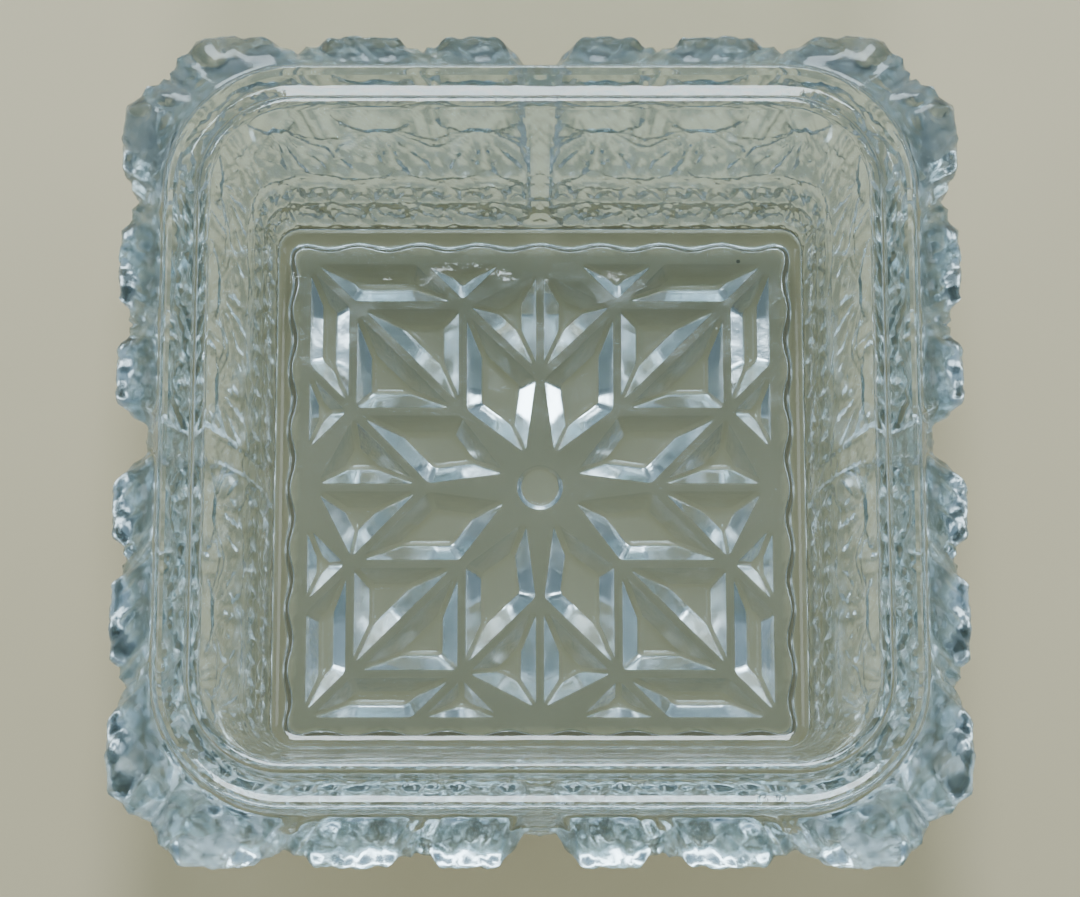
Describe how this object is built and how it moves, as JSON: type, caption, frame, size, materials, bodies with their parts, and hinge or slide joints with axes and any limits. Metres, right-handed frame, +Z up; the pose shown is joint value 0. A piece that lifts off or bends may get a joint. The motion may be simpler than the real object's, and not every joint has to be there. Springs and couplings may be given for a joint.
{
  "type": "butter dish",
  "caption": "Square clear pressed-glass butter dish: a deep dish with a scalloped wall, a star pressed under its floor and a rim channel, and a knobbed lid that turns over onto it.",
  "frame": {"origin": "centre of the dish's foot, on the surface that it stands on", "axes": "+Z up out of the dish's mouth, +Y from the dish towards the lid lying behind it, +X along the side between them"},
  "size_m": [0.167, 0.3267, 0.06],
  "materials": {
    "dish_glass": "clear pressed glass, fire polished",
    "lid_glass": "clear pressed glass, fire polished"
  },
  "bodies": {
    "dish_body": {"dish": "dish_glass"},
    "lid_body": {"lid": "lid_glass"}
  },
  "joints": [
    {"name": "lid_turn", "type": "hinge", "parent": "dish_body", "child": "lid_body", "pos_m": [0, 0.086, 0.0576], "axis": [1, 0, 0], "range_deg": [0, 180]}
  ]
}
